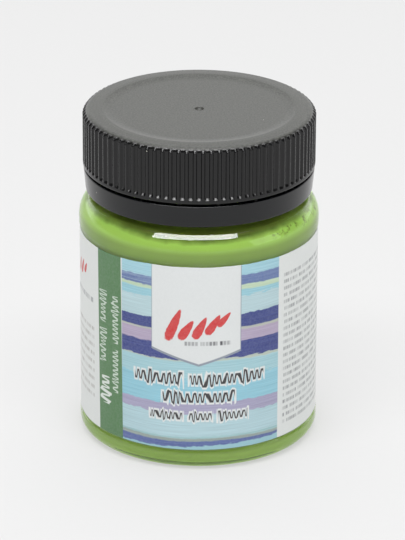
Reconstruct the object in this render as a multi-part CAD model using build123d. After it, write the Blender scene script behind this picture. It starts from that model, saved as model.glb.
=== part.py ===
"""Small wide-mouth paint jar with a ribbed screw cap and a breakaway band.

Millimetres. +Z is up, the origin is the centre of the standing plane, and the front of the
label faces -Y. The jar is clear PET, blown, with a two-start thread. The cap, its band and
the bridges between them are one polypropylene moulding until the first opening.
"""

import math
import os

from build123d import *

# ---------------------------------------------------------------- driving dimensions
TOTAL_HEIGHT = 60.0
BODY_RADIUS = 20.93          # label panel of the jar
BULGE_RADIUS = 21.15         # shoulder and heel, which stand proud of the label
BODY_WALL = 0.85
NECK_RADIUS = 17.55          # root of the neck thread
NECK_WALL = 1.55
CAP_RADIUS = 20.4            # over the ribs
THREAD_LEAD = 6.0            # axial travel in one full turn
THREAD_STARTS = 2
THREAD_DEPTH = 0.95

# ---------------------------------------------------------------- heights
LABEL_BOTTOM = 3.9
LABEL_TOP = 38.5
SHOULDER_TOP = 43.92         # upper end of the sloping part of the shoulder
BAND_BOTTOM = 45.4
BAND_TOP = 49.35
CAP_BOTTOM = 49.8
LINER_THICKNESS = 1.0
CAP_PLATE = 1.4
CAP_CEILING = TOTAL_HEIGHT - CAP_PLATE
RIM_TOP = CAP_CEILING - LINER_THICKNESS
PAINT_LEVEL = 41.3

# ---------------------------------------------------------------- jar details
PANEL_STEP = 0.3             # height of the small ramp at each end of the label panel
PANEL_MARGIN = 0.3           # bare panel above and below the label
HEEL_FILLET = 2.2
SHOULDER_FILLET = 4.5
SHOULDER_TOP_RADIUS = 19.43
SHOULDER_CORNER = 41.99      # where the shoulder's slope would meet the bulge's wall
STANDING_RING = 16.6         # inner radius of the flat ring that the jar stands on
PUNT_HEIGHT = 1.6            # rise of the base inside that ring
PUNT_RADIUS = 12.5           # where the risen part of the base begins to fall
PUNT_DOME = 0.3              # how far it is higher at its centre than at that radius
PUNT_BLEND = 2.5
PUNT_FOOT = STANDING_RING - 1.2
PUNT_FOOT_HEIGHT = 0.35
PUNT_WALL = 1.0
FLOOR_THICKNESS = 1.2
INNER_HEEL_FILLET = 2.0
INNER_SHOULDER_FILLET = 2.4
INNER_SHOULDER_TOP = SHOULDER_TOP - 0.85
MOUTH_RISE = 0.5             # how much higher the inside of the shoulder is at the neck
MOUTH_BLEND = 1.2
NECK_BLEND = 0.8
NECK_RISE = 0.38             # how much higher the nearly flat top of the shoulder is at the neck
RIM_FILLET = 0.5
GATE_RADIUS = 1.3
GATE_DROP = 0.5
BEAD_RADIUS = 18.5           # retaining bead that holds the band on the neck
BEAD_BOTTOM = 47.5
BEAD_LIP = 0.4
BEAD_RUNOUT = 1.0            # height over which the bead slopes back to the neck
NECK_THREAD_START = 50.8     # height of a neck thread's centreline where it begins
NECK_THREAD_TURN = 300.0     # degrees that each start wraps

# ---------------------------------------------------------------- cap details
CAP_GROOVE_DEPTH = 0.35
CAP_INNER_RADIUS = 18.75
RIB_COUNT = 90
RIB_CREST = 0.40
RIB_ROOT = 0.72
RIB_SUNK = 0.15              # how far a rib is sunk into the cap's wall
RIB_TOP = 59.55
RIB_TOP_SLOPE = 0.45         # height over which a rib's top runs back to the wall
SKIRT_RING_HEIGHT = 1.1      # plain ring below the ribs
LEDGE_DROP = 0.42            # slope from the foot of a groove out to that ring
TOP_FILLET = 0.95
DISH_RADIUS = 15.6           # shallow dish in the top of the cap
DISH_SLOPE = 1.3
DISH_DEPTH = 0.25
CROWN_RADIUS = 17.6          # the ring round the dish is highest here
CROWN_FALL = 0.12            # and falls by this much to the top's edge
DIMPLE_RADIUS = 0.85         # where the moulding gate was
DIMPLE_DEPTH = 0.32
NUB_RADIUS = 0.38
THREAD_FLANK = 0.75          # half height of a thread at its root
THREAD_LAND = 0.35           # half height of a thread at its crest
THREAD_OVERLAP = 0.15        # how far a thread is sunk into its wall
THREAD_OFFSET = 1.2          # the cap's thread sits this far below the neck's
CAP_THREAD_FIRST = 84.0      # degrees along the helix where the cap's thread begins
CAP_THREAD_TURN = 250.0
LINER_RADIUS = 18.45
LINER_EDGE = 0.15

# ---------------------------------------------------------------- band details
BAND_RADIUS = 20.28          # at its top
BAND_FOOT_RADIUS = 19.92
BAND_INNER_RADIUS = 18.85
LUG_COUNT = 16
LUG_WIDTH_DEG = 9.0
LUG_RADIUS = 17.95           # tips of the lugs that catch under the bead
LUG_BOTTOM = 46.1
LUG_TOP = 47.2
LUG_SUNK = 0.3               # how far a lug is sunk into the band's wall
LUG_TIP = 0.5                # height of a lug at its tip
BRIDGE_COUNT = 18
BRIDGE_SIZE = 0.55
BRIDGE_RADIUS = 19.35

# ---------------------------------------------------------------- label details
LABEL_THICKNESS = 0.1
ADHESIVE = 0.02
LABEL_GAP = 2.6              # width of the bare strip where the label's ends nearly meet
PAINT_CLEARANCE = 0.05      # left between the paint's solid and the wall
PAINT_EDGE = 0.2             # the paint's top edge follows the shoulder's inside


# ---------------------------------------------------------------- helpers
def turned(corners):
    """A solid turned about Z from a closed outline of (radius, height, corner radius)."""
    count = len(corners)
    edges = []
    ends = []
    for i, (r, z, fillet_radius) in enumerate(corners):
        here = Vector(r, 0, z)
        back = (Vector(*place(corners[i - 1])) - here).normalized()
        ahead = (Vector(*place(corners[(i + 1) % count])) - here).normalized()
        if fillet_radius == 0:
            ends.append((here, here))
            continue
        half = math.radians(back.get_angle(ahead)) / 2
        reach = fillet_radius / math.tan(half)
        bisector = (back + ahead).normalized()
        middle = here + bisector * (fillet_radius / math.sin(half) - fillet_radius)
        start, end = here + back * reach, here + ahead * reach
        edges.append(Edge.make_three_point_arc(start, middle, end))
        ends.append((start, end))
    for i in range(count):
        edges.append(Edge.make_line(ends[i - 1][1], ends[i][0]))
    return revolve(make_face(edges), Axis.Z)


def place(corner):
    """The point in the XZ plane of an outline's corner."""
    return corner[0], 0, corner[1]


def copies(shape, count):
    """That many copies of a shape, evenly spaced about Z."""
    return [Rot(0, 0, 360 * i / count) * shape for i in range(count)]


def thread(wall, direction, first_height, first_angle, sweep_angle):
    """One start of a trapezoid thread on a wall of that radius, with rounded ends.

    direction is 1 for a thread that stands out from the wall, and -1 for one that stands in.
    """
    sunk = wall - direction * THREAD_OVERLAP
    crest = wall + direction * THREAD_DEPTH
    slope = (THREAD_FLANK - THREAD_LAND) / THREAD_DEPTH
    deep = THREAD_FLANK + slope * THREAD_OVERLAP
    rise = THREAD_LEAD * sweep_angle / 360
    path = Edge.make_helix(THREAD_LEAD, rise, wall)
    section = Polyline((sunk, 0, -deep), (crest, 0, -THREAD_LAND),
                       (crest, 0, THREAD_LAND), (sunk, 0, deep), close=True)
    body = sweep(make_face(section), path=path, is_frenet=True)
    depth = abs(crest - sunk)
    stub = Cone(deep, THREAD_LAND, depth, align=(Align.CENTER, Align.CENTER, Align.MIN))
    stub = Pos(sunk, 0, 0) * Rot(0, 90 * direction, 0) * stub
    end = Rot(0, 0, sweep_angle) * Pos(0, 0, rise) * stub
    return Rot(0, 0, first_angle) * Pos(0, 0, first_height) * (body + stub + end)


# ---------------------------------------------------------------- the jar and what it holds
def cavity(inset, top):
    """Outline of the jar's inside from the axis to a height on its wall, pulled in by inset."""
    inner = BODY_RADIUS - BODY_WALL - inset
    floor = FLOOR_THICKNESS + inset
    crown = PUNT_HEIGHT + PUNT_WALL + inset
    return [(0, crown, 0), (PUNT_RADIUS, crown - PUNT_DOME, PUNT_BLEND), (PUNT_FOOT, floor, 1.0),
            (inner, floor, INNER_HEEL_FILLET), (inner, top, 0)]


def make_jar():
    heel = [(0, PUNT_HEIGHT - GATE_DROP, 0), (GATE_RADIUS, PUNT_HEIGHT - GATE_DROP, 0.2),
            (GATE_RADIUS + 0.2, PUNT_HEIGHT, 0.2), (PUNT_RADIUS, PUNT_HEIGHT - PUNT_DOME, PUNT_BLEND),
            (PUNT_FOOT, PUNT_FOOT_HEIGHT, 0.4), (STANDING_RING, 0, 0),
            (BULGE_RADIUS, 0, HEEL_FILLET)]
    panel_bottom = LABEL_BOTTOM - PANEL_MARGIN
    panel_top = LABEL_TOP + PANEL_MARGIN
    panel = [(BULGE_RADIUS, panel_bottom - PANEL_STEP, 0.3), (BODY_RADIUS, panel_bottom, 0.2),
             (BODY_RADIUS, panel_top, 0.2), (BULGE_RADIUS, panel_top + PANEL_STEP, 0.3)]
    shoulder = [(BULGE_RADIUS, SHOULDER_CORNER, SHOULDER_FILLET),
                (SHOULDER_TOP_RADIUS, SHOULDER_TOP, 0.4),
                (NECK_RADIUS, SHOULDER_TOP + NECK_RISE, NECK_BLEND)]
    bead = [(NECK_RADIUS, BEAD_BOTTOM, 0.2), (BEAD_RADIUS, BEAD_BOTTOM, 0.15),
            (BEAD_RADIUS, BEAD_BOTTOM + BEAD_LIP, 0.2),
            (NECK_RADIUS, BEAD_BOTTOM + BEAD_LIP + BEAD_RUNOUT, 0.4)]
    bore = NECK_RADIUS - NECK_WALL
    inner = BODY_RADIUS - BODY_WALL
    mouth = [(NECK_RADIUS, RIM_TOP, RIM_FILLET), (bore, RIM_TOP, RIM_FILLET),
             (bore, INNER_SHOULDER_TOP + MOUTH_RISE, MOUTH_BLEND),
             (inner, INNER_SHOULDER_TOP, INNER_SHOULDER_FILLET)]
    inside = list(reversed(cavity(0, 0)))[1:]
    jar = turned(heel + panel + shoulder + bead + mouth + inside)
    start = thread(NECK_RADIUS, 1, NECK_THREAD_START, 0, NECK_THREAD_TURN)
    for piece in copies(start, THREAD_STARTS):
        jar += piece
    return jar


def make_paint():
    sides = cavity(PAINT_CLEARANCE, PAINT_LEVEL - PAINT_EDGE * 3)
    radius = sides[-1][0] - PAINT_EDGE
    return turned(sides + [(radius, PAINT_LEVEL, 0), (0, PAINT_LEVEL, 0)])


def make_label():
    inner = BODY_RADIUS + ADHESIVE
    outer = inner + LABEL_THICKNESS
    gap = math.degrees(LABEL_GAP / outer)
    section = Polyline((inner, 0, LABEL_BOTTOM), (outer, 0, LABEL_BOTTOM),
                       (outer, 0, LABEL_TOP), (inner, 0, LABEL_TOP), close=True)
    wrap = revolve(make_face(section), Axis.Z, revolution_arc=360 - gap)
    return Rot(0, 0, 90 + gap / 2) * wrap


# ---------------------------------------------------------------- the closure
def make_rib():
    """One grip rib at angle 0, with its top end sloped back to the wall."""
    wall = CAP_RADIUS - CAP_GROOVE_DEPTH
    root = wall - RIB_SUNK
    section = Polyline((root, -RIB_ROOT / 2), (CAP_RADIUS, -RIB_CREST / 2),
                       (CAP_RADIUS, RIB_CREST / 2), (root, RIB_ROOT / 2), close=True)
    bottom = CAP_BOTTOM + SKIRT_RING_HEIGHT - LEDGE_DROP - 0.1
    prism = Pos(0, 0, bottom) * extrude(make_face(section), RIB_TOP + 1 - bottom)
    limit = turned([(root - 1, bottom, 0), (CAP_RADIUS + 1, bottom, 0),
                    (CAP_RADIUS + 1, RIB_TOP - RIB_TOP_SLOPE - 1, 0),
                    (CAP_RADIUS, RIB_TOP - RIB_TOP_SLOPE, 0),
                    (wall - 0.1, RIB_TOP + 0.1, 0), (root - 1, RIB_TOP + 0.1, 0)])
    return prism & limit


def make_cap():
    wall = CAP_RADIUS - CAP_GROOVE_DEPTH
    ring_top = CAP_BOTTOM + SKIRT_RING_HEIGHT
    dish = TOTAL_HEIGHT - DISH_DEPTH
    gate = [(0, dish - 0.1, 0), (NUB_RADIUS, dish - 0.1, 0.05),
            (NUB_RADIUS + 0.08, dish - DIMPLE_DEPTH, 0.05),
            (DIMPLE_RADIUS - 0.2, dish - DIMPLE_DEPTH, 0.1), (DIMPLE_RADIUS, dish, 0.1)]
    top = [(DISH_RADIUS, dish, 3.0), (DISH_RADIUS + DISH_SLOPE, TOTAL_HEIGHT, 0),
           (CROWN_RADIUS, TOTAL_HEIGHT, 0), (wall, TOTAL_HEIGHT - CROWN_FALL, TOP_FILLET)]
    skirt = [(wall, ring_top, 0), (CAP_RADIUS, ring_top - LEDGE_DROP, 0.08),
             (CAP_RADIUS, CAP_BOTTOM, 0.3), (CAP_INNER_RADIUS, CAP_BOTTOM, 0.2),
             (CAP_INNER_RADIUS, CAP_CEILING, 0.15), (0, CAP_CEILING, 0)]
    cap = turned(gate + top + skirt)
    cap = cap.fuse(*copies(make_rib(), RIB_COUNT))
    height = NECK_THREAD_START - THREAD_OFFSET + THREAD_LEAD * CAP_THREAD_FIRST / 360
    start = thread(CAP_INNER_RADIUS, -1, height, CAP_THREAD_FIRST, CAP_THREAD_TURN)
    for piece in copies(start, THREAD_STARTS):
        cap += piece
    return cap


def make_liner():
    return turned([(0, RIM_TOP, 0), (LINER_RADIUS, RIM_TOP, LINER_EDGE),
                   (LINER_RADIUS, CAP_CEILING, LINER_EDGE), (0, CAP_CEILING, 0)])


def make_band():
    band = turned([(BAND_INNER_RADIUS, BAND_BOTTOM, 0.2), (BAND_FOOT_RADIUS, BAND_BOTTOM, 0.3),
                   (BAND_RADIUS, BAND_TOP, 0.15), (BAND_INNER_RADIUS, BAND_TOP, 0)])
    root = BAND_INNER_RADIUS + LUG_SUNK
    section = Polyline((root, 0, LUG_BOTTOM - LUG_SUNK), (LUG_RADIUS, 0, LUG_TOP - LUG_TIP),
                       (LUG_RADIUS, 0, LUG_TOP), (root, 0, LUG_TOP), close=True)
    lug = revolve(make_face(section), Axis.Z, revolution_arc=LUG_WIDTH_DEG)
    return band.fuse(*copies(lug, LUG_COUNT))


def make_bridges():
    height = CAP_BOTTOM - BAND_TOP
    bridge = Pos(BRIDGE_RADIUS, 0, BAND_TOP) * Box(
        BRIDGE_SIZE, BRIDGE_SIZE, height, align=(Align.CENTER, Align.CENTER, Align.MIN))
    return Compound(copies(bridge, BRIDGE_COUNT))


# ---------------------------------------------------------------- write the nodes
def main():
    os.makedirs("parts", exist_ok=True)
    nodes = {
        "jar": make_jar(),
        "paint_fill": make_paint(),
        "wrap_label": make_label(),
        "screw_cap": make_cap(),
        "sealing_liner": make_liner(),
        "tamper_band": make_band(),
        "breakaway_bridges": make_bridges(),
    }
    for name, shape in nodes.items():
        export_step(shape, f"parts/{name}.step")
        print(name, f"{shape.volume / 1000:.2f} cm3")


if __name__ == "__main__":
    main()
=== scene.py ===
"""Small paint jar: clear jar of green paint, printed label, black ribbed cap and tamper band."""
import math

import bpy
import numpy as np
from mathutils import Matrix, Vector


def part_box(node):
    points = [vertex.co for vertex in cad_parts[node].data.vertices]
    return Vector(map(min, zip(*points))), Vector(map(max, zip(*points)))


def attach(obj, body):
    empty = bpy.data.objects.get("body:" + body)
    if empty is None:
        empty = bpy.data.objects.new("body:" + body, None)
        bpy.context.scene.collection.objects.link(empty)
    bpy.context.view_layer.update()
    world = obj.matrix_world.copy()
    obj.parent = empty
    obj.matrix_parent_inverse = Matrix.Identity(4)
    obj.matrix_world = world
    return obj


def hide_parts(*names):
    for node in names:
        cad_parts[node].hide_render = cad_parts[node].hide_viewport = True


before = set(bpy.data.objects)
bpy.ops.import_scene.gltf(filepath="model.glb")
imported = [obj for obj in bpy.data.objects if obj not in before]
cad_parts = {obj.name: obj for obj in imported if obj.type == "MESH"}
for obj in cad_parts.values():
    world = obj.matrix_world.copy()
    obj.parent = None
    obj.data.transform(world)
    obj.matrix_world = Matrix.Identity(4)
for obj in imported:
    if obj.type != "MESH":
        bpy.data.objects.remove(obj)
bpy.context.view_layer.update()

MM = 0.001


def box_mm(node):
    """A CAD node's lowest and highest corners, in millimetres."""
    low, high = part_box(node)
    return low / MM, high / MM


# ---------------------------------------------------------------- sizes from the frame, in mm
JAR_HIGH = box_mm("jar")[1]
LABEL_LOW, LABEL_HIGH = box_mm("wrap_label")
CAP_LOW, CAP_HIGH = box_mm("screw_cap")
BAND_LOW, BAND_HIGH = box_mm("tamper_band")
LINER_HIGH = box_mm("sealing_liner")[1]
PAINT_HIGH = box_mm("paint_fill")[1]

BULGE_RADIUS = JAR_HIGH.x
RIM_TOP = JAR_HIGH.z
LABEL_RADIUS = LABEL_HIGH.x
LABEL_BOTTOM = LABEL_LOW.z
LABEL_TOP = LABEL_HIGH.z
CAP_RADIUS = CAP_HIGH.x
CAP_BOTTOM = CAP_LOW.z
CAP_TOP = CAP_HIGH.z
CAP_CEILING = LINER_HIGH.z
BAND_BOTTOM = BAND_LOW.z
BAND_TOP = BAND_HIGH.z
PAINT_LEVEL = PAINT_HIGH.z

# ---------------------------------------------------------------- sizes of the jar, in mm
BODY_RADIUS = LABEL_RADIUS - 0.12
BODY_WALL = 0.85
HEEL_FILLET = 2.2
PANEL_MARGIN = 0.3           # bare panel above and below the label
PANEL_STEP = 0.3             # height of the small ramp at each end of the panel
NECK_RADIUS = 17.55
BORE_RADIUS = 16.0
SHOULDER_TOP = 43.92
SHOULDER_TOP_RADIUS = 19.43
SHOULDER_CORNER = 41.99
SHOULDER_FILLET = 4.5
INNER_SHOULDER = SHOULDER_TOP - 0.85
INNER_SHOULDER_FILLET = 2.4
MOUTH_RISE = 0.5             # how much higher the inside of the shoulder is at the neck
NECK_RISE = 0.38             # and the same for its outside
RIM_FILLET = 0.5
BEAD_RADIUS = 18.5
BEAD_BOTTOM = 47.5
BEAD_LIP = 0.4
BEAD_TOP = BEAD_BOTTOM + 1.4
THREAD_ZONE = BEAD_TOP + 0.5 # from here up the neck's mesh is fine enough for the thread
STANDING_RING = 16.6
PUNT_HEIGHT = 1.6
PUNT_RADIUS = 12.5
PUNT_DOME = 0.3              # how far the risen base is higher at its centre than at that radius
PUNT_FOOT = STANDING_RING - 1.2
PUNT_FOOT_HEIGHT = 0.35
PUNT_BLEND = 2.5
PUNT_WALL = 1.0
GATE_DROP = 0.5              # how far the gate's mark hangs below the risen base
FLOOR_THICKNESS = 1.2
INNER_HEEL_FILLET = 2.0
AXIS = 0.05                  # outlines begin and end this far from the axis, where a fan closes them

# ---------------------------------------------------------------- threads, in mm and degrees
THREAD_LEAD = 6.0
THREAD_STARTS = 2
THREAD_DEPTH = 0.95
THREAD_FLANK = 0.75
THREAD_LAND = 0.35
NECK_THREAD = {"start": 50.8, "first": 0.0, "turn": 300.0}
CAP_THREAD = {"start": 49.6, "first": 84.0, "turn": 250.0}

# ---------------------------------------------------------------- sizes of the closure, in mm
RIB_COUNT = 90
RIB_DEPTH = 0.35
RIB_TOP = 59.55
RIB_TOP_SLOPE = 0.45         # height over which a rib's top runs back to the wall
RIB_TOP_LEAN = 0.82          # how far it runs back for each millimetre of that height
TOP_FILLET = 0.95
RING_FILLET = 0.3
CAP_WALL_INSIDE = 18.75
LEDGE_TOP = CAP_BOTTOM + 1.1
LEDGE_DROP = 0.39
CROWN_RADIUS = 17.6
CROWN_FALL = 0.12
DISH_RADIUS = 15.6
DISH_SLOPE = 1.3
DISH_DEPTH = 0.25
DISH_FILLET = 10.0
DIMPLE_DEPTH = 0.32
GATE_RADIUS = 0.85
NUB_RADIUS = 0.38
BAND_WALL_INSIDE = 18.85
BAND_FOOT_RADIUS = 19.92
BAND_TOP_RADIUS = 20.28
LUG_COUNT = 16
LUG_WIDTH_DEG = 9.0
LUG_REACH = 0.9
LUG_BOTTOM = 46.1
LUG_TOP = 47.2

# ---------------------------------------------------------------- camera
SENSOR = 36.0                # mm
LENS = 263.0667              # mm
CAMERA_DISTANCE = 0.700      # this and the aim are in metres
CAMERA_ELEVATION = math.radians(22.94)
CAMERA_ROLL = math.radians(0.26)
AIM_HEIGHT = 0.02905
AIM_RIGHT = 0.00067          # the jar stands slightly left of the picture's middle
AIM_UP = 0.00012


# ---------------------------------------------------------------- outlines and meshes
def outline(corners, longest=1.5, arc_step=0.12):
    """Points (r, z) along an open outline of (radius, height, corner radius)."""
    points = [np.array(corners[0][:2], float)]
    for i in range(1, len(corners) - 1):
        here = np.array(corners[i][:2], float)
        fillet = corners[i][2]
        if fillet == 0:
            points.append(here)
            continue
        back = np.array(corners[i - 1][:2], float) - here
        ahead = np.array(corners[i + 1][:2], float) - here
        back /= np.linalg.norm(back)
        ahead /= np.linalg.norm(ahead)
        half = math.acos(np.clip(back @ ahead, -1, 1)) / 2
        reach = fillet / math.tan(half)
        middle = (back + ahead) / np.linalg.norm(back + ahead)
        centre = here + middle * fillet / math.sin(half)
        start = here + back * reach
        end = here + ahead * reach
        turn = math.pi - 2 * half
        steps = max(4, math.ceil(fillet * turn / arc_step))
        support = min(0.08, fillet * 0.5)
        points.append(start + back * support)
        for k in range(steps + 1):
            t = k / steps
            a, b = math.sin((1 - t) * turn), math.sin(t * turn)
            offset = ((start - centre) * a + (end - centre) * b) / math.sin(turn)
            points.append(centre + offset)
        points.append(end + ahead * support)
    points.append(np.array(corners[-1][:2], float))
    return subdivided(points, longest)


def subdivided(points, longest):
    """The same line with no stretch longer than that."""
    line = [points[0]]
    for a, b in zip(points, points[1:]):
        count = max(1, math.ceil(np.linalg.norm(b - a) / longest))
        line += [a + (b - a) * k / count for k in range(1, count + 1)]
    return np.array(line)


def even_angles(count):
    """Angles about Z from the front, -Y, towards +X."""
    return np.arange(count) * 2 * math.pi / count


def around(radii, heights, angles):
    """A point for each radius, height and angle, in metres."""
    heights = np.broadcast_to(heights, radii.shape)
    x = radii * np.sin(angles)
    y = -radii * np.cos(angles)
    return np.stack([x, y, heights], -1).reshape(-1, 3) * MM


def grid_faces(rows, columns, closed=True, looped=False):
    """Quads of a grid of points, joined round in its columns, and in its rows where looped."""
    wide = columns if closed else columns - 1
    tall = rows if looped else rows - 1
    faces = []
    for i in range(tall):
        low = i * columns
        high = (i + 1) % rows * columns
        for j in range(wide):
            k = (j + 1) % columns
            faces.append((low + j, low + k, high + k, high + j))
    return faces


def lathe(line, columns=256, rise=None, looped=False, angles=None):
    """Points and faces of an outline turned about Z, with its ends closed on the axis."""
    angles = even_angles(columns) if angles is None else angles
    columns = len(angles)
    heights = np.repeat(line[:, 1:], columns, axis=1)
    radii = np.repeat(line[:, :1], columns, axis=1)
    if rise is not None:
        radii = radii + rise(angles[None, :], heights, np.arange(len(line))[:, None])
    points = around(radii, heights, angles[None, :])
    faces = grid_faces(len(line), columns, looped=looped)
    if not looped:
        first, last = len(points), len(points) + 1
        ends = [[0, 0, line[0, 1] * MM], [0, 0, line[-1, 1] * MM]]
        points = np.vstack([points, ends])
        top = (len(line) - 1) * columns
        for j in range(columns):
            k = (j + 1) % columns
            faces.append((first, k, j))
            faces.append((last, top + j, top + k))
    return points, faces


def piece(name, points, faces, material, body, slot, *replaced):
    """A smooth mesh with its faces turned outwards, riding on a body in place of CAD nodes."""
    mesh = bpy.data.meshes.new(name)
    mesh.from_pydata(points.tolist(), [], faces)
    mesh.update()
    if signed_volume(mesh) < 0:
        mesh.flip_normals()
    mesh.shade_smooth()
    mesh.materials.append(material)
    obj = bpy.data.objects.new(name, mesh)
    bpy.context.scene.collection.objects.link(obj)
    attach(obj, body)
    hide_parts(*replaced)
    return obj


def signed_volume(mesh):
    """Six times the volume inside the mesh, negative where its faces look inwards."""
    mesh.calc_loop_triangles()
    points = np.empty(len(mesh.vertices) * 3)
    mesh.vertices.foreach_get("co", points)
    points = points.reshape(-1, 3)
    corners = np.empty(len(mesh.loop_triangles) * 3, np.int32)
    mesh.loop_triangles.foreach_get("vertices", corners)
    a, b, c = (points[corners.reshape(-1, 3)[:, k]] for k in range(3))
    return float(np.einsum("ij,ij->i", a, np.cross(b, c)).sum())


def ramp(value, low, high):
    """0 below low, 1 above high, and a smooth rise between them."""
    t = np.clip((value - low) / (high - low), 0, 1)
    return t * t * (3 - 2 * t)


def thread_rise(angles, heights, start, first, turn):
    """How far a two-start thread stands off its wall at each angle and height."""
    rise = np.zeros(np.broadcast(angles, heights).shape)
    for k in range(THREAD_STARTS):
        along = np.degrees(angles) - 90 - first - 360 * k / THREAD_STARTS
        along = (along + 30) % 360 - 30
        inside = np.clip(along, 0, turn)
        centre = start + THREAD_LEAD * (first + inside) / 360
        beyond = np.radians(along - inside) * NECK_RADIUS
        distance = np.hypot(heights - centre, beyond)
        profile = np.clip((THREAD_FLANK - distance) / (THREAD_FLANK - THREAD_LAND), 0, 1)
        rise = np.maximum(rise, profile * THREAD_DEPTH)
    return rise


# ---------------------------------------------------------------- material helpers
def srgb(red, green, blue):
    """A colour for a shader from its 0 to 255 sRGB values."""
    parts = [c / 255 for c in (red, green, blue)]
    return tuple(c / 12.92 if c <= 0.04045 else ((c + 0.055) / 1.055) ** 2.4 for c in parts) + (1.0,)


class Shader:
    """A material being built: each call adds a node and gives back its output."""

    def __init__(self, name, **settings):
        self.material = bpy.data.materials.new(name)
        self.material.use_nodes = True
        self.tree = self.material.node_tree
        self.bsdf = self.tree.nodes["Principled BSDF"]
        for socket, value in settings.items():
            self.bsdf.inputs[socket.replace("_", " ")].default_value = value

    def put(self, socket, value):
        """Links an output to an input, or sets the input to a constant."""
        if isinstance(value, bpy.types.NodeSocket):
            self.tree.links.new(value, socket)
        else:
            socket.default_value = value

    def base(self, colour):
        self.put(self.bsdf.inputs["Base Color"], colour)

    def roughness(self, value):
        self.put(self.bsdf.inputs["Roughness"], value)

    def math(self, operation, a, b=0.0, c=0.0, clamp=False):
        node = self.tree.nodes.new("ShaderNodeMath")
        node.operation = operation
        node.use_clamp = clamp
        for socket, value in zip(node.inputs, (a, b, c)):
            self.put(socket, value)
        return node.outputs[0]

    def position(self):
        node = self.tree.nodes.new("ShaderNodeTexCoord")
        return node.outputs["Object"]

    def split(self, vector):
        node = self.tree.nodes.new("ShaderNodeSeparateXYZ")
        self.put(node.inputs[0], vector)
        return node.outputs[0], node.outputs[1], node.outputs[2]

    def join(self, x, y, z=0.0):
        node = self.tree.nodes.new("ShaderNodeCombineXYZ")
        for socket, value in zip(node.inputs, (x, y, z)):
            self.put(socket, value)
        return node.outputs[0]

    def noise(self, vector, scale, detail=2.0, roughness=0.5):
        node = self.tree.nodes.new("ShaderNodeTexNoise")
        self.put(node.inputs["Vector"], vector)
        node.inputs["Scale"].default_value = scale
        node.inputs["Detail"].default_value = detail
        node.inputs["Roughness"].default_value = roughness
        return node.outputs[0]

    def random(self, vector):
        node = self.tree.nodes.new("ShaderNodeTexWhiteNoise")
        self.put(node.inputs["Vector"], vector)
        return node.outputs[0]

    def specks(self, vector, scale):
        """Distance to the nearest of scattered points."""
        node = self.tree.nodes.new("ShaderNodeTexVoronoi")
        self.put(node.inputs["Vector"], vector)
        node.inputs["Scale"].default_value = scale
        return node.outputs["Distance"], node.outputs["Color"]

    def span(self, value, low, high, start=0.0, end=1.0):
        """Start below low, end above high, and a straight change between them."""
        node = self.tree.nodes.new("ShaderNodeMapRange")
        for socket, number in zip(node.inputs, (value, low, high, start, end)):
            self.put(socket, number)
        return node.outputs[0]

    def mix(self, factor, a, b):
        node = self.tree.nodes.new("ShaderNodeMix")
        node.data_type = "RGBA"
        self.put(node.inputs[0], factor)
        self.put(node.inputs[6], a)
        self.put(node.inputs[7], b)
        return node.outputs[2]

    def bump(self, *layers):
        """Layers of (height, depth in mm) on the shader's normal."""
        normal = None
        for height, depth in layers:
            node = self.tree.nodes.new("ShaderNodeBump")
            node.inputs["Distance"].default_value = depth * MM
            self.put(node.inputs["Height"], height)
            if normal is not None:
                self.put(node.inputs["Normal"], normal)
            normal = node.outputs[0]
        self.put(self.bsdf.inputs["Normal"], normal)


# ---------------------------------------------------------------- plain materials
def clear_pet():
    s = Shader("clear_pet", Roughness=0.03, IOR=1.575, Transmission_Weight=1.0)
    s.base((0.985, 0.995, 0.99, 1))
    wave = s.noise(s.position(), 90.0, 1.0)
    s.bump((wave, 0.25))
    return s.material


PAINT_DARK = (0.32, 0.50, 0.086, 1)
PAINT_LIGHT = (0.375, 0.56, 0.112, 1)
PAINT_LIT = (0.52, 0.82, 0.155, 1)
# painted shade: the dark film colour under the band and cap
PAINT_FILM_SHADE = (0.10, 0.16, 0.02, 1)
# painted light: the film's shade is lighter round the neck, where light comes through
PAINT_NECK_LIT = (0.36, 0.46, 0.09, 1)
LIT_START = 40.3             # from this height up the paint is painted lighter, for light that reaches it from above, in mm
LIT_END = 41.4
SHADE_START = 42.0            # from this height up the paint is painted dark, as shade under the band and cap, in mm
SHADE_END = 42.9
SHADE_LATER = 0.5             # how much higher that is away from the front
NECK_LIT_START = 42.95           # from this height up the painted shade is lighter again, for light through the neck
NECK_LIT_END = 43.25


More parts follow.
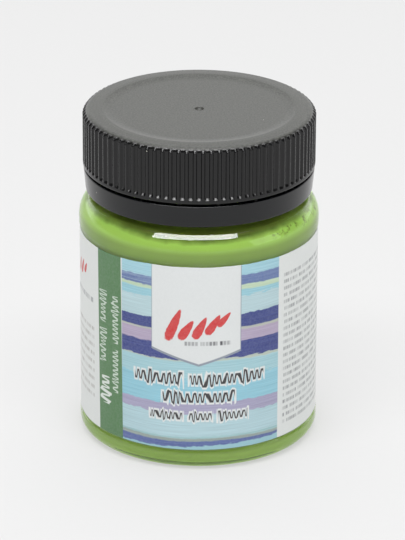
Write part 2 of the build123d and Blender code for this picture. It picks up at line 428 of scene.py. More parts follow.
def paint(name, specular, roughness):
    """Green paint coloured by height: painted light at the shoulder and base, and painted shade on its film
    under the band and cap.
    """
    s = Shader(name, Specular_IOR_Level=specular, Roughness=roughness)
    place = s.position()
    flow = s.noise(place, 120.0, 3.0)
    x, y, z = s.split(place)
    angle = s.math("ARCTAN2", x, s.math("MULTIPLY", y, -1.0))
    later = s.span(s.math("ABSOLUTE", angle), 0.3, 0.8, 0.0, SHADE_LATER * MM)
    wander = s.math("MULTIPLY", s.math("SUBTRACT", s.noise(place, 420.0, 4.0), 0.5), 0.0008)
    height = s.math("ADD", s.math("SUBTRACT", z, later), wander)
    shaded = s.span(height, SHADE_START * MM, SHADE_END * MM)
    # ragged smears on the shoulder's film: real marks, laid in the painted shade's dark colour
    smear_shade = s.span(s.noise(place, 900.0, 5.0, 0.7), 0.53, 0.62, 0.0, 0.7)
    smear_shade = s.math("MULTIPLY", smear_shade, s.span(angle, 0.5, 0.75))
    smear_shade = s.math("MULTIPLY", smear_shade, s.span(z, 41.2 * MM, 42.0 * MM))
    colour = s.mix(flow, PAINT_DARK, PAINT_LIGHT)
    # painted light: the paint is laid lighter from the shoulder up, where light reaches it from above
    colour = s.mix(s.span(z, LIT_START * MM, LIT_END * MM), colour, PAINT_LIT)
    # painted light: the paint is laid lighter towards the base
    colour = s.mix(s.span(z, 4.5 * MM, 2.5 * MM, 0.0, 0.6), colour, PAINT_LIT)
    # painted shade on the film, lighter round the neck
    film_shade = s.mix(s.span(z, NECK_LIT_START * MM, NECK_LIT_END * MM), PAINT_FILM_SHADE, PAINT_NECK_LIT)
    s.base(s.mix(s.math("MAXIMUM", shaded, smear_shade), colour, film_shade))
    s.bump((s.noise(place, 260.0, 2.0), 0.05))
    return s.material


# the top's grain, laid far lighter than the sides: real grain, with painted light from above
TOP_DARKEST = (19, 20, 18)
TOP_LIGHTEST = (61, 62, 57)
TOP_ROUGHNESS = 0.42


def black_plastic(name, side_roughness, darkest, lightest):
    """Moulded black plastic, glossy at its sides, with a matt and grainy top laid lighter than the sides as
    painted light from above.
    """
    s = Shader(name, IOR=1.46)
    place = s.position()
    x, y, z = s.split(place)
    out = s.math("SQRT", s.math("MULTIPLY_ADD", x, x, s.math("MULTIPLY", y, y)))
    top = s.math("MULTIPLY", s.span(z, 59.2 * MM, 59.6 * MM), s.span(out, 20.0 * MM, 19.6 * MM))
    grain = s.noise(place, 3600.0, 2.0, 0.6)
    smudge = s.noise(place, 220.0, 3.0)
    distance, tint = s.specks(place, 900.0)
    chosen = s.math("GREATER_THAN", s.split(tint)[0], 0.985)
    dust = s.math("MULTIPLY", s.math("LESS_THAN", distance, 0.09), chosen)
    sides = s.mix(smudge, srgb(*darkest), srgb(*lightest))
    # painted light: the top's grain is laid lighter than the sides, as if lit from above
    lit_grain = s.mix(s.span(grain, 0.35, 0.65), srgb(*TOP_DARKEST), srgb(*TOP_LIGHTEST))
    s.base(s.mix(dust, s.mix(top, sides, lit_grain), srgb(190, 188, 175)))
    side = s.span(smudge, 0.3, 0.7, side_roughness - 0.04, side_roughness + 0.05)
    s.roughness(s.span(top, 0.0, 1.0, side, TOP_ROUGHNESS))
    s.bump((grain, 0.010))
    return s.material


def liner_foam():
    s = Shader("liner_foam", Roughness=0.7)
    place = s.position()
    cells = s.specks(place, 2500.0)[0]
    s.base(s.mix(cells, srgb(226, 226, 221), srgb(243, 243, 240)))
    s.bump((cells, 0.05))
    return s.material


# ---------------------------------------------------------------- the label's print
LABEL_SHADE = 0.17           # how much darker the label's inks and film are laid all over, as painted shade
PAPER = (236, 239, 237)
INK = (62, 60, 62)
PANEL = (-14.4, 15.2)        # the striped picture, along the label in mm from its front's middle
SIDE_BAND = (-20.5, -14.4)   # the green band to the left of it

STROKE_SATURATION = 1.18     # how much stronger the strokes' colours are laid than listed
STROKE_DARK = 150            # strokes whose mean level is below this
STROKE_DARKER = 8            # are laid this many levels darker

# from the top down: a stroke's colour, the height of its lower edge, how much that edge rises
# in 10 mm to the right, and how ragged it is, in mm
STROKES = [
    ((176, 214, 225), 36.35, 0.22, 0.15),
    ((124, 141, 181), 34.60, 0.12, 0.14),
    ((203, 221, 196), 33.85, 0.02, 0.08),
    ((167, 209, 220), 32.55, 0.30, 0.45),
    ((195, 218, 223), 28.95, 0.42, 0.22),
    ((80, 90, 143), 26.70, 0.16, 0.08),
    ((190, 193, 186), 26.30, 0.10, 0.10),
    ((187, 175, 196), 24.15, 0.14, 0.14),
    ((82, 91, 145), 21.15, 0.05, 0.22),
    ((196, 206, 196), 20.80, -0.10, 0.12),
    ((177, 211, 219), 17.60, 0.05, 0.50),
    ((160, 207, 221), 12.80, 0.10, 0.20),
    ((176, 173, 197), 10.80, -0.05, 0.28),
    ((191, 217, 224), 6.45, 0.05, 0.12),
    ((172, 204, 208), 6.05, 0.00, 0.10),
    ((160, 172, 168), 5.50, 0.02, 0.08),
    ((112, 126, 172), 4.55, 0.30, 0.20),
    ((166, 203, 212), 0.0, 0.0, 0.0),
]
DABS = [  # middle along and up, half length, half width and slant of each red dab
    (-4.3, 27.6, 3.3, 0.80, 68),
    (-2.1, 26.7, 2.2, 0.75, 56),
    (0.3, 27.1, 2.3, 0.75, 62),
    (2.6, 27.7, 2.2, 0.70, 57),
    (4.5, 28.6, 1.7, 0.55, 48),
]
PENNANT = (-8.25, 7.45)
PENNANT_POINT = (0.1, 20.3)
PENNANT_SLOPE = 0.33


class Print(Shader):
    """A shader whose colour is laid down in layers over the label, in flat millimetres."""

    def __init__(self, name, **settings):
        super().__init__(name, **settings)
        x, y, z = self.split(self.position())
        angle = self.math("ARCTAN2", x, self.math("MULTIPLY", y, -1.0))
        self.along = self.math("MULTIPLY", angle, LABEL_RADIUS)
        self.up = self.math("DIVIDE", z, MM)
        self.colour = srgb(*PAPER)

    def lay(self, mask, colour):
        self.colour = self.mix(mask, self.colour, colour)

    def both(self, a, b):
        return self.math("MULTIPLY", a, b)

    def either(self, a, b):
        return self.math("MAXIMUM", a, b)

    def above(self, value, limit, soft=0.06):
        """1 above the limit and 0 below it, where the limit is a number."""
        return self.span(value, limit - soft, limit + soft)

    def below(self, value, limit, soft=0.06):
        return self.span(value, limit - soft, limit + soft, 1.0, 0.0)

    def within(self, value, low, high, soft=0.06):
        return self.both(self.above(value, low, soft), self.below(value, high, soft))

    def box(self, low, high, bottom, top):
        return self.both(self.within(self.along, low, high), self.within(self.up, bottom, top))

    def streaks(self, length, height, seed, detail=3.0):
        """Noise drawn out along the label, as a dry brush leaves it."""
        place = self.join(self.math("DIVIDE", self.along, length), self.math("DIVIDE", self.up, height), seed)
        return self.noise(place, 1.0, detail)

    def dab(self, middle, height, length, width, slant):
        """A leaf-shaped dab, with a ragged edge."""
        c, s = math.cos(math.radians(slant)), math.sin(math.radians(slant))
        u = self.math("SUBTRACT", self.along, middle)
        v = self.math("SUBTRACT", self.up, height)
        lengthwise = self.math("MULTIPLY_ADD", v, s / length, self.math("MULTIPLY", u, c / length))
        across = self.math("ADD", self.math("MULTIPLY", u, -s / width), self.math("MULTIPLY", v, c / width))
        taper = self.math("MULTIPLY", lengthwise, 0.45)
        across = self.math("MULTIPLY", across, self.math("ADD", taper, 1.0))
        size = self.math("ADD", self.math("MULTIPLY", lengthwise, lengthwise),
                         self.math("MULTIPLY", across, across))
        rough = self.math("MULTIPLY", self.noise(self.join(u, v, slant), 1.6, 3.0), 0.5)
        return self.below(self.math("ADD", size, rough), 1.2, 0.1)

    def words(self, value, spans):
        mask = None
        for low, high in spans:
            one = self.within(value, low, high, 0.05)
            mask = one if mask is None else self.either(mask, one)
        return mask

    def wavy(self, along, across, middle, reach, pitch):
        """Distance in mm from an uneven wavy line, which stands for a line of handwriting."""
        drift = self.noise(self.join(self.math("DIVIDE", along, pitch * 1.7), middle), 1.0, 1.0)
        phase = self.math("ADD", self.math("DIVIDE", along, pitch), self.math("MULTIPLY", drift, 1.6))
        turn = self.math("MULTIPLY", phase, 2 * math.pi)
        tall = self.noise(self.join(self.math("DIVIDE", along, pitch), middle, 7.0), 0.9, 1.0)
        height = self.math("MULTIPLY", self.span(tall, 0.52, 0.66, 0.74, 1.3), reach)
        centre = self.math("MULTIPLY_ADD", self.math("SINE", turn), height, middle)
        steepest = self.math("MULTIPLY", height, 2 * math.pi / pitch)
        slope = self.math("MULTIPLY", self.math("COSINE", turn), steepest)
        gap = self.math("ABSOLUTE", self.math("SUBTRACT", across, centre))
        steepness = self.math("MULTIPLY_ADD", slope, slope, 1.0)
        sideways = self.math("MULTIPLY", gap, self.math("INVERSE_SQRT", steepness))
        beyond = self.math("ABSOLUTE", self.math("SUBTRACT", across, middle))
        return self.either(sideways, self.math("SUBTRACT", beyond, height))

    def scribble(self, along, across, middle, reach, pitch, spans, half_width, colour, halo=None):
        """A line of scribble in words, laid on with a pale halo round it where asked."""
        distance = self.wavy(along, across, middle, reach, pitch)
        if halo is not None:
            wide = self.words(along, [(low - 0.3, high + 0.3) for low, high in spans])
            self.lay(self.both(wide, self.below(distance, half_width + 0.36, 0.08)), halo)
        self.lay(self.both(self.words(along, spans), self.below(distance, half_width)), colour)

    def small_print(self, along, across, top, pitch, rows, height, cell, colour, strength=0.8):
        """Rows of little blocks in place of letters, with gaps between the words."""
        down = self.math("DIVIDE", self.math("SUBTRACT", top, across), pitch)
        row = self.math("FLOOR", down)
        line = self.within(self.math("FRACT", down), 0.02, height / pitch, 0.09)
        place = self.math("DIVIDE", along, cell)
        letter = self.math("FLOOR", place)
        tone = self.random(self.join(letter, row, top))
        gap = self.within(self.math("FRACT", place), 0.1, 0.86, 0.12)
        length = self.random(self.join(row, top, 3.0))
        word = self.math("FRACT", self.math("DIVIDE", along, self.span(length, 0, 1, 1.9, 3.6)))
        spaces = self.above(word, 0.13, 0.03)
        block = self.both(self.within(down, 0.0, rows, 0.02), self.both(line, spaces))
        ink = self.both(self.both(block, gap), self.span(tone, 0.0, 1.0, 0.35, 1.0))
        return self.math("MULTIPLY", ink, strength), colour


def stroke_colour(listed):
    """A stroke's listed colour made more saturated, and darker where it is a dark one."""
    mean = sum(listed) / 3
    darker = STROKE_DARKER if mean < STROKE_DARK else 0
    strong = (round(mean + (level - mean) * STROKE_SATURATION) for level in listed)
    return tuple(min(max(level, 0), 255) - darker for level in strong)


def lay_picture(p):
    """The striped picture: broad level strokes of thin paint over one another."""
    wave = p.math("SINE", p.math("DIVIDE", p.along, 3.4))
    height = p.math("MULTIPLY_ADD", wave, -0.1, p.up)
    ragged = p.math("SUBTRACT", p.streaks(1.6, 0.5, 1.0, 4.0), 0.5)
    fibres = p.streaks(9.0, 0.16, 5.0, 4.0)
    picture = srgb(*stroke_colour(STROKES[-1][0]))
    for listed, edge, rise, rough in reversed(STROKES[:-1]):
        colour = stroke_colour(listed)
        level = p.math("MULTIPLY_ADD", p.along, -rise / 10, height)
        level = p.math("MULTIPLY_ADD", ragged, rough * 4.5, level)
        light = srgb(*(min(255, c + 9) for c in colour))
        dark = srgb(*(max(0, c - 8) for c in colour))
        tone = p.mix(p.span(fibres, 0.35, 0.65), dark, light)
        picture = p.mix(p.above(level, edge, 0.08), picture, tone)
    dry = p.both(p.within(p.up, 34.7, 36.3, 0.2), p.above(fibres, 0.53, 0.06))
    dry = p.both(dry, p.below(p.along, 3.0, 5.0))
    picture = p.mix(p.math("MULTIPLY", dry, 0.5), picture, srgb(186, 208, 222))
    p.lay(p.within(p.along, *PANEL), picture)


def lay_side_band(p):
    """The green band, with white scribble running down it."""
    slanted = p.math("MULTIPLY_ADD", p.up, 0.012, p.along)
    tone = p.mix(p.noise(p.position(), 700.0, 2.0), srgb(90, 131, 88), srgb(98, 140, 95))
    p.lay(p.within(slanted, SIDE_BAND[0] + 0.25, SIDE_BAND[1] + 0.2), tone)
    down = p.math("MULTIPLY", p.up, -1.0)
    white = srgb(214, 228, 214)
    p.scribble(down, p.along, -16.0, 0.7, 0.86, [(-30.6, -21.6), (-20.4, -12.2)], 0.13, white)
    p.scribble(down, p.along, -19.2, 0.72, 0.9, [(-30.9, -24.9), (-23.7, -17.2)], 0.13, white)
    p.scribble(down, p.along, -18.6, 1.05, 1.3, [(-14.7, -9.4)], 0.27, srgb(232, 239, 232))


def lay_pennant(p):
    """The white pennant and the thin shade along its lower edges."""
    middle, tip = PENNANT_POINT
    for drop, colour in ((0.42, srgb(150, 158, 170)), (0.0, srgb(233, 236, 236))):
        from_middle = p.math("ABSOLUTE", p.math("SUBTRACT", p.along, middle))
        level = p.math("MULTIPLY_ADD", from_middle, -PENNANT_SLOPE, p.up)
        side = p.within(p.along, PENNANT[0] - drop * 0.2, PENNANT[1] + drop * 0.3)
        p.lay(p.both(side, p.above(level, tip - drop)), colour)
    red = p.mix(p.streaks(1.2, 0.8, 9.0), srgb(206, 58, 62), srgb(226, 78, 76))
    for dab in DABS:
        p.lay(p.dab(*dab), red)
    mask, colour = p.small_print(p.along, p.up, 24.6, 1.2, 1, 0.8, 0.62, srgb(86, 84, 90), 1.0)
    p.lay(p.both(p.within(p.along, -2.4, 5.7), mask), colour)


def label_print():
    p = Print("printed_label", Roughness=0.38, Specular_IOR_Level=0.25)
    lay_picture(p)
    lay_side_band(p)
    lay_pennant(p)
    lay_headings(p)
    lay_small_print(p)
    fibre = p.noise(p.position(), 2600.0, 3.0)
    printed = p.mix(p.span(fibre, 0.3, 0.7, 0.0, 0.1), p.colour, srgb(200, 205, 205))
    # painted shade: the whole label is darkened by LABEL_SHADE
    p.base(p.mix(LABEL_SHADE, printed, (0, 0, 0, 1)))
    p.bump((p.noise(p.position(), 160.0, 2.0), 0.06), (fibre, 0.003))
    return p.material


def lay_headings(p):
    """Three lines of dark scribble with a white edge, where the name of the contents goes."""
    ink, halo = srgb(*INK), srgb(236, 239, 238)
    p.scribble(p.along, p.up, 17.3, 0.95, 1.12, [(-11.6, -2.75), (-1.5, 12.0)], 0.19, ink, halo)
    p.scribble(p.along, p.up, 13.85, 0.95, 1.12, [(-6.3, 6.5)], 0.19, ink, halo)
    p.scribble(p.along, p.up, 10.3, 0.72, 0.86, [(-8.6, -2.75), (-1.6, 2.4), (3.5, 8.9)], 0.14, ink, halo)


def lay_small_print(p):
    """Rows of grey blocks to the right of the picture, round the back and to its left."""
    grey, brown = srgb(120, 123, 128), srgb(140, 132, 124)
    right = p.within(p.along, 16.4, 39.5, 0.1)
    mask, colour = p.small_print(p.along, p.up, 35.0, 1.275, 23, 0.68, 0.47, grey)
    p.lay(p.both(right, mask), colour)
    left = p.either(p.within(p.along, -45.0, -22.2, 0.1), p.within(p.along, 44.0, 62.0, 0.1))
    mask, colour = p.small_print(p.along, p.up, 22.6, 1.6, 9, 0.7, 0.55, brown, 0.65)
    p.lay(p.both(left, mask), colour)
    place = p.math("FLOOR", p.math("DIVIDE", p.along, 0.33))
    bars = p.both(p.box(44.5, 61.0, 25.0, 34.0), p.above(p.random(p.join(place, 2.0)), 0.52, 0.01))
    p.lay(bars, srgb(60, 60, 62))
    for dab in ((-29.5, 32.0, 1.5, 0.5, 70), (-27.6, 32.3, 1.7, 0.5, 64), (-25.8, 32.6, 1.2, 0.45, 60)):
        p.lay(p.dab(*dab), srgb(214, 70, 70))
    word = p.both(p.within(p.along, -31.0, -22.4, 0.1), p.within(p.up, 26.9, 28.3, 0.1))
    mask, colour = p.small_print(p.along, p.up, 28.1, 1.2, 1, 0.95, 0.9, srgb(150, 152, 156), 0.9)
    p.lay(p.both(word, mask), colour)


# ---------------------------------------------------------------- jar and paint
def make_jar():
    panel_low = LABEL_BOTTOM - PANEL_MARGIN
    panel_high = LABEL_TOP + PANEL_MARGIN
    gate = PUNT_HEIGHT - GATE_DROP
    base = [(AXIS, gate, 0), (1.3, gate, 0.2), (1.5, PUNT_HEIGHT, 0.2),
            (PUNT_RADIUS, PUNT_HEIGHT - PUNT_DOME, PUNT_BLEND), (PUNT_FOOT, PUNT_FOOT_HEIGHT, 0.4),
            (STANDING_RING, 0, 0.3), (BULGE_RADIUS, 0, HEEL_FILLET)]
    panel = [(BULGE_RADIUS, panel_low - PANEL_STEP, 0.3), (BODY_RADIUS, panel_low, 0.2),
             (BODY_RADIUS, panel_high, 0.2), (BULGE_RADIUS, panel_high + PANEL_STEP, 0.3)]
    shoulder = [(BULGE_RADIUS, SHOULDER_CORNER, SHOULDER_FILLET),
                (SHOULDER_TOP_RADIUS, SHOULDER_TOP, 0.4),
                (NECK_RADIUS, SHOULDER_TOP + NECK_RISE, 0.8)]
    bead = [(NECK_RADIUS, BEAD_BOTTOM, 0.2), (BEAD_RADIUS, BEAD_BOTTOM, 0.15),
            (BEAD_RADIUS, BEAD_BOTTOM + BEAD_LIP, 0.2), (NECK_RADIUS, BEAD_TOP, 0.4)]
    outside = base + panel + shoulder + bead + [(NECK_RADIUS, THREAD_ZONE, 0)]
    mouth = RIM_TOP - 1.5
    neck = [(NECK_RADIUS, THREAD_ZONE, 0), (NECK_RADIUS, RIM_TOP, RIM_FILLET),
            (BORE_RADIUS, RIM_TOP, RIM_FILLET), (BORE_RADIUS, mouth, 0)]
    low, high = outline(outside), outline(neck, longest=0.12)
    inside = outline([(BORE_RADIUS, mouth, 0)] + inner_wall(0) + [(AXIS, inner_floor(0)[0], 0)])
    line = np.vstack([low, high[1:], inside[1:]])
    threaded = len(low), len(low) + len(high)

    def rise(angles, heights, rows):
        thread = thread_rise(angles, heights, **NECK_THREAD)
        outer = (rows >= threaded[0]) & (rows < threaded[1]) & (line[rows, 0] > NECK_RADIUS - 0.01)
        return thread * outer

    points, faces = lathe(line, 288, rise)
    return piece("clear_jar", points, faces, clear_pet(), "jar", "clear_pet", "jar")


def inner_floor(offset):
    """Heights of the inside of the base at its centre, on the risen part and at its edge."""
    crown = PUNT_HEIGHT + PUNT_WALL - offset
    return crown, crown - PUNT_DOME, FLOOR_THICKNESS - offset


def inner_wall(offset):
    """The jar's inside from the neck down to the middle of the base, moved out by offset."""
    inner = BODY_RADIUS - BODY_WALL + offset
    dome, floor = inner_floor(offset)[1:]
    return [(BORE_RADIUS + offset, INNER_SHOULDER + MOUTH_RISE + offset, 1.2),
            (inner, INNER_SHOULDER + offset, INNER_SHOULDER_FILLET),
            (inner, floor, INNER_HEEL_FILLET), (PUNT_FOOT, floor, 1.0), (PUNT_RADIUS, dome, PUNT_BLEND)]


FILM_OVERLAP = 0.05          # how far the paint reaches into the jar's wall, so that no gap shows
FILM_THICKNESS = 0.12
FILM_CLIMB = 7.0             # how far above the shoulder a full film would end
MENISCUS = 0.35              # how far the still surface lies below its edge


def film_height(angles):
    """How far up the inside of the shoulder and neck the paint's film reaches, from 0 to 1."""
    wave = 0.86 + 0.07 * np.sin(2 * angles + 0.6) + 0.05 * np.sin(5 * angles + 2.0)
    return wave + 0.03 * np.sin(11 * angles) + 0.02 * np.sin(23 * angles + 1.3)


def make_paint():
    """The still paint with a film of it up the wall, the shoulder and into the neck."""
    climb = INNER_SHOULDER + FILM_CLIMB
    floor = [(AXIS, inner_floor(FILM_OVERLAP)[0], 0)]
    wall = [(BORE_RADIUS + FILM_OVERLAP, climb, 0)] + inner_wall(FILM_OVERLAP)
    wet = outline(wall + floor, longest=0.4)[::-1]
    face = [(BORE_RADIUS - FILM_THICKNESS, climb, 0)] + inner_wall(-FILM_THICKNESS)[:2]
    dry = outline(face + [(face[-1][0], PAINT_LEVEL, 0)], longest=0.4)
    inner = BODY_RADIUS - BODY_WALL
    sunk = PAINT_LEVEL - MENISCUS
    surface = outline([(inner - FILM_THICKNESS, PAINT_LEVEL, 0), (inner - 0.5, sunk + 0.1, 0.5),
                       (inner - 2.5, sunk, 3.0), (AXIS, sunk, 0)], longest=0.6)
    angles = even_angles(288)
    level_row = int(np.argmax(wet[:, 1] > PAINT_LEVEL))
    film_out = reach(wet[level_row - 1:], angles)
    film_in = reach(dry[::-1], angles)[::-1]
    still = np.repeat(wet[:level_row - 1, None, :], len(angles), axis=1)
    top = np.repeat(surface[1:, None, :], len(angles), axis=1)
    grid = np.vstack([still, film_out, film_in, top])
    points = around(grid[..., 0], grid[..., 1], angles[None, :])
    columns = len(angles)
    faces = grid_faces(len(grid), columns)
    first, last = len(points), len(points) + 1
    points = np.vstack([points, [[0, 0, grid[0, 0, 1] * MM], [0, 0, grid[-1, 0, 1] * MM]]])
    end = (len(grid) - 1) * columns
    for j in range(columns):
        k = (j + 1) % columns
        faces.append((first, k, j))
        faces.append((last, end + j, end + k))
    on_wall = paint("paint_on_wall", 0.0, 0.6)
    obj = piece("paint_body", points, faces, on_wall, "jar", "green_paint", "paint_fill")
    obj.data.materials.append(paint("wet_paint", 0.5, 0.12))
    wet_rows = len(still) + len(film_out)
    for polygon in obj.data.polygons:
        row = min(polygon.vertices) // columns
        if row >= wet_rows or max(polygon.vertices) == last:
            polygon.material_index = 1
    return obj


def reach(line, angles):
    """A line of (r, z) points cut short at each angle by the film's height there."""
    steps = np.r_[0, np.cumsum(np.linalg.norm(np.diff(line, axis=0), axis=1))]
    share = np.clip(film_height(angles), 0.05, 1.0)
    at = steps[:, None] * share[None, :]
    r = np.interp(at, steps, line[:, 0])
    z = np.interp(at, steps, line[:, 1])
    return np.stack([r, z], -1)


# ---------------------------------------------------------------- label
LABEL_THICKNESS = 0.1
LABEL_GAP_DEG = 7.1          # between its two ends at the back


def label_dip(angles):
    """How far the label's top edge falls short of its height, in mm, as its cut wanders."""
    along = angles * LABEL_RADIUS
    nicks = 0.02 * (1 + np.sin(along * 0.9)) + 0.015 * (1 + np.sin(along * 3.7))
    return 0.28 * ramp(-along, 7, 19) + nicks


def make_label():
    gap = math.radians(LABEL_GAP_DEG)
    inner = LABEL_RADIUS - LABEL_THICKNESS
    angles = np.linspace(-math.pi + gap / 2, math.pi - gap / 2, 420)
    edge = 0.03
    start = (inner, LABEL_BOTTOM + 0.2, 0)
    corners = [(inner, LABEL_BOTTOM, edge), (LABEL_RADIUS, LABEL_BOTTOM, edge),
               (LABEL_RADIUS, LABEL_TOP, edge), (inner, LABEL_TOP, edge)]
    section = outline([start] + corners + [start], longest=1.2, arc_step=0.02)[:-1]
    columns = len(angles)
    heights = np.repeat(section[:, 1:], columns, axis=1)
    radii = np.repeat(section[:, :1], columns, axis=1)
    heights = heights - ramp(heights, LABEL_TOP - 3, LABEL_TOP) * label_dip(angles)[None, :]
    points = around(radii, heights, angles[None, :])
    faces = grid_faces(len(section), columns, closed=False, looped=True)
    rows = len(section)
    faces.append(tuple(i * columns for i in range(rows)))
    faces.append(tuple(i * columns + columns - 1 for i in reversed(range(rows))))
    return piece("printed_label", points, faces, label_print(), "jar", "printed_label", "wrap_label")


# ---------------------------------------------------------------- cap, band, bridges and liner
def rib_angles():
    """Angles that fall on each rib's middle, edges and flanks, and in its groove."""
    pitch = 2 * math.pi / RIB_COUNT
    stops = np.array([-0.5, -0.27, -0.20, -0.13, 0.0, 0.13, 0.20, 0.27])
    return ((np.arange(RIB_COUNT)[:, None] + 0.5 + stops[None, :]) * pitch).ravel()


def groove_depth(angles):
    """1 in the grooves between the ribs and 0 on the ribs."""
    pitch = 2 * math.pi / RIB_COUNT
    from_rib = np.abs((angles / pitch) % 1 - 0.5)
    return ramp(from_rib, 0.12, 0.27)


def make_cap():
    dish = CAP_TOP - DISH_DEPTH
    dimple = dish - DIMPLE_DEPTH
    wall = CAP_RADIUS - RIB_DEPTH
    rib_start = RIB_TOP - 0.7
    thread_foot = CAP_BOTTOM + 0.6
    top = [(AXIS, dish - 0.1, 0), (NUB_RADIUS, dish - 0.1, 0.08), (NUB_RADIUS + 0.1, dimple, 0.05),
           (GATE_RADIUS - 0.2, dimple, 0.1), (GATE_RADIUS, dish, 0.12), (DISH_RADIUS, dish, DISH_FILLET),
           (DISH_RADIUS + DISH_SLOPE, CAP_TOP, 1.5), (CROWN_RADIUS, CAP_TOP, 3.0),
           (wall, CAP_TOP - CROWN_FALL, TOP_FILLET), (wall, rib_start, 0)]
    upper = outline(top, longest=1.5, arc_step=0.08)
    ribbed = outline([(wall, rib_start, 0), (wall, LEDGE_TOP, 0.05),
                      (CAP_RADIUS, LEDGE_TOP - LEDGE_DROP, 0.08),
                      (CAP_RADIUS, CAP_BOTTOM, RING_FILLET), (CAP_WALL_INSIDE, CAP_BOTTOM, 0.2),
                      (CAP_WALL_INSIDE, thread_foot, 0)], longest=0.5)
    over_liner = LINER_HIGH.x - 0.5
    inside = outline([(CAP_WALL_INSIDE, thread_foot, 0), (CAP_WALL_INSIDE, CAP_CEILING, 0.15),
                      (over_liner, CAP_CEILING, 0)], longest=0.14)
    ceiling = outline([(over_liner, CAP_CEILING, 0), (AXIS, CAP_CEILING, 0)], longest=4.0)
    line = np.vstack([upper, ribbed[1:], inside[1:], ceiling[1:]])
    inside_rows = len(upper) + len(ribbed) - 1
    thread_end = inside_rows + len(inside) - 1

    def rise(angles, heights, rows):
        r = line[rows, 0]
        on_skirt = (rows < inside_rows) & (r > wall - 0.5) & (heights > LEDGE_TOP - LEDGE_DROP)
        crest = CAP_RADIUS - RIB_TOP_LEAN * np.maximum(heights - RIB_TOP + RIB_TOP_SLOPE, 0)
        room = ramp(-heights, -RIB_TOP - 0.12, -RIB_TOP - 0.04)
        ribs = (1 - groove_depth(angles)) * np.maximum(crest - r, 0) * room * on_skirt
        thread = thread_rise(angles, heights, **CAP_THREAD)
        threaded = (rows >= inside_rows) & (rows < thread_end) & (r > CAP_WALL_INSIDE - 0.01)
        return ribs - thread * threaded

    points, faces = lathe(line, rise=rise, angles=rib_angles())
    material = black_plastic("cap_black", 0.20, (4, 4, 5), (9, 9, 10))
    return piece("ribbed_cap", points, faces, material, "cap", "black_pp", "screw_cap")


def make_band():
    start = (BAND_WALL_INSIDE, BAND_BOTTOM + 0.5, 0)
    corners = [(BAND_WALL_INSIDE, BAND_BOTTOM, 0.2), (BAND_FOOT_RADIUS, BAND_BOTTOM, 0.3),
               (BAND_TOP_RADIUS, BAND_TOP, 0.15), (BAND_WALL_INSIDE, BAND_TOP, 0.1)]
    line = outline([start] + corners + [start], longest=0.25)[:-1]

    def rise(angles, heights, rows):
        inner = np.abs(line[rows, 0] - BAND_WALL_INSIDE) < 0.01
        turn = np.degrees(angles) - 90
        within = np.abs(((turn - LUG_WIDTH_DEG / 2) * LUG_COUNT / 360 + 0.5) % 1 - 0.5) * 360 / LUG_COUNT
        lug = ramp(-within, -LUG_WIDTH_DEG / 2, -LUG_WIDTH_DEG / 2 + 0.8)
        height = ramp(heights, LUG_BOTTOM - 0.3, LUG_TOP - 0.4) * ramp(-heights, -LUG_TOP, -LUG_TOP + 0.2)
        return -LUG_REACH * lug * height * inner

    points, faces = lathe(line, 720, rise, looped=True)
    material = black_plastic("band_black", 0.15, (4, 5, 7), (7, 9, 13))
    return piece("tamper_ring", points, faces, material, "band", "black_pp", "tamper_band")


def finish_cad_nodes():
    """The liner and the bridges keep their CAD shape and get their materials."""
    bridges = black_plastic("bridge_black", 0.4, (20, 21, 22), (28, 29, 30))
    finishes = {"sealing_liner": liner_foam(), "breakaway_bridges": bridges}
    for node, material in finishes.items():
        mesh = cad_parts[node].data
        mesh.materials.clear()
        mesh.materials.append(material)


# ---------------------------------------------------------------- stage, lights and camera
FLOOR_RADIUS = 1.6           # metres
FLOOR_GLOW = 0.53
FLOOR_COLOUR = (0.17, 0.17, 0.17, 1)
FLOOR_LIGHTER = (0.18, 0.18, 0.18, 1)


def make_floor():
    """A pale floor that glows a little, so that only a close and faint shadow shows on it."""
    s = Shader("pale_floor", Roughness=0.9, Specular_IOR_Level=0.0)
    grain = s.noise(s.position(), 900.0, 2.0)
    s.base(s.mix(grain, FLOOR_COLOUR, FLOOR_LIGHTER))
    s.bsdf.inputs["Emission Color"].default_value = (1, 1, 1, 1)
    s.bsdf.inputs["Emission Strength"].default_value = FLOOR_GLOW
    rim = even_angles(96)
    points = [(FLOOR_RADIUS * math.sin(a), FLOOR_RADIUS * math.cos(a), 0) for a in rim]
    mesh = bpy.data.meshes.new("floor")
    mesh.from_pydata(points, [], [tuple(reversed(range(len(points))))])
    mesh.materials.append(s.material)
    floor = bpy.data.objects.new("floor", mesh)
    bpy.context.scene.collection.objects.link(floor)


def area_light(name, shape, place, target, width, height, radiance):
    """A softbox of a given shape and radiance, in no camera's sight."""
    area = width * height * (math.pi / 4 if shape == "ELLIPSE" else 1)
    light = bpy.data.lights.new(name, "AREA")
    light.shape = shape
    light.size = width
    light.size_y = height
    light.energy = radiance * math.pi * area
    obj = bpy.data.objects.new(name, light)
    obj.location = place
    obj.rotation_euler = (Vector(target) - Vector(place)).to_track_quat("-Z", "Y").to_euler()
    obj.visible_camera = False
    bpy.context.scene.collection.objects.link(obj)


def make_lights():
    """A wide oval softbox above and in front, a panel overhead and a weak one to the right."""
    area_light("window", "ELLIPSE", (-0.09, -0.45, 1.0), (-0.09, -0.4499, 0), 1.30, 0.38, 13.0)
    area_light("overhead", "RECTANGLE", (0, 0.25, 1.2), (0, 0.2499, 0), 1.4, 1.1, 2.4)
    area_light("right", "RECTANGLE", (1.1, -0.45, 0.45), (0, 0, 0.03), 0.7, 0.5, 1.5)


# the room's glow at each height of view, from level at 0 to straight up at 1
BACK_SKY = [(0.03, 0.86), (0.10, 2.0), (0.26, 1.8), (0.40, 0.65), (0.64, 1.9), (0.78, 1.9), (0.92, 0.9)]
ROOM_SKY = [(0.08, 0.95), (0.22, 0.10), (0.80, 0.10), (0.90, 0.9)]
BACK_EDGE = (0.42, 0.62)     # how far the view turns to the back before the back's glow shows


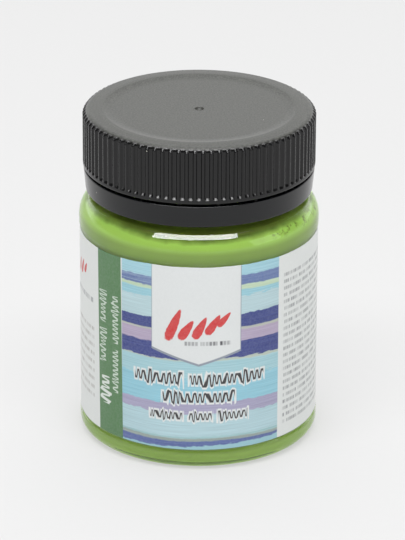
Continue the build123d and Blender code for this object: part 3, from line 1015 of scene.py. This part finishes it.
def make_world():
    """A pale ceiling and a bright back, with the dark of the room all round in between."""
    world = bpy.data.worlds.new("studio")
    world.use_nodes = True
    tree = world.node_tree
    coords = tree.nodes.new("ShaderNodeTexCoord")
    split = tree.nodes.new("ShaderNodeSeparateXYZ")
    tree.links.new(coords.outputs["Generated"], split.inputs[0])
    behind = tree.nodes.new("ShaderNodeMapRange")
    tree.links.new(split.outputs[1], behind.inputs["Value"])
    behind.inputs["From Min"].default_value = BACK_EDGE[0]
    behind.inputs["From Max"].default_value = BACK_EDGE[1]
    mix = tree.nodes.new("ShaderNodeMix")
    mix.data_type = "RGBA"
    tree.links.new(behind.outputs[0], mix.inputs[0])
    for socket, sky in ((6, ROOM_SKY), (7, BACK_SKY)):
        heights = tree.nodes.new("ShaderNodeValToRGB")
        tree.links.new(split.outputs[2], heights.inputs[0])
        stops = heights.color_ramp.elements
        while len(stops) < len(sky):
            stops.new(0.5)
        for stop, (height, glow) in zip(stops, sky):
            stop.position = height
            stop.color = (glow, glow, glow, 1)
        tree.links.new(heights.outputs[0], mix.inputs[socket])
    tree.links.new(mix.outputs[2], tree.nodes["Background"].inputs[0])
    bpy.context.scene.world = world


def make_camera():
    data = bpy.data.cameras.new("camera")
    data.sensor_width = SENSOR
    data.lens = LENS
    data.clip_start = 0.01
    data.clip_end = 10
    camera = bpy.data.objects.new("camera", data)
    away = Vector((0, -math.cos(CAMERA_ELEVATION), math.sin(CAMERA_ELEVATION)))
    right = Vector((1, 0, 0))
    up = right.cross(-away)
    aim = Vector((0, 0, AIM_HEIGHT)) + right * AIM_RIGHT + up * AIM_UP
    turn = Matrix.Rotation(CAMERA_ROLL, 4, away)
    level = Matrix((right, up, away)).transposed().to_4x4()
    camera.matrix_world = Matrix.Translation(aim + away * CAMERA_DISTANCE) @ turn @ level
    bpy.context.scene.collection.objects.link(camera)
    bpy.context.scene.camera = camera
    bpy.context.scene.view_settings.view_transform = "Standard"


# ---------------------------------------------------------------- build
make_camera()
make_world()
make_lights()
make_floor()
make_jar()
make_paint()
make_label()
make_cap()
make_band()
finish_cad_nodes()
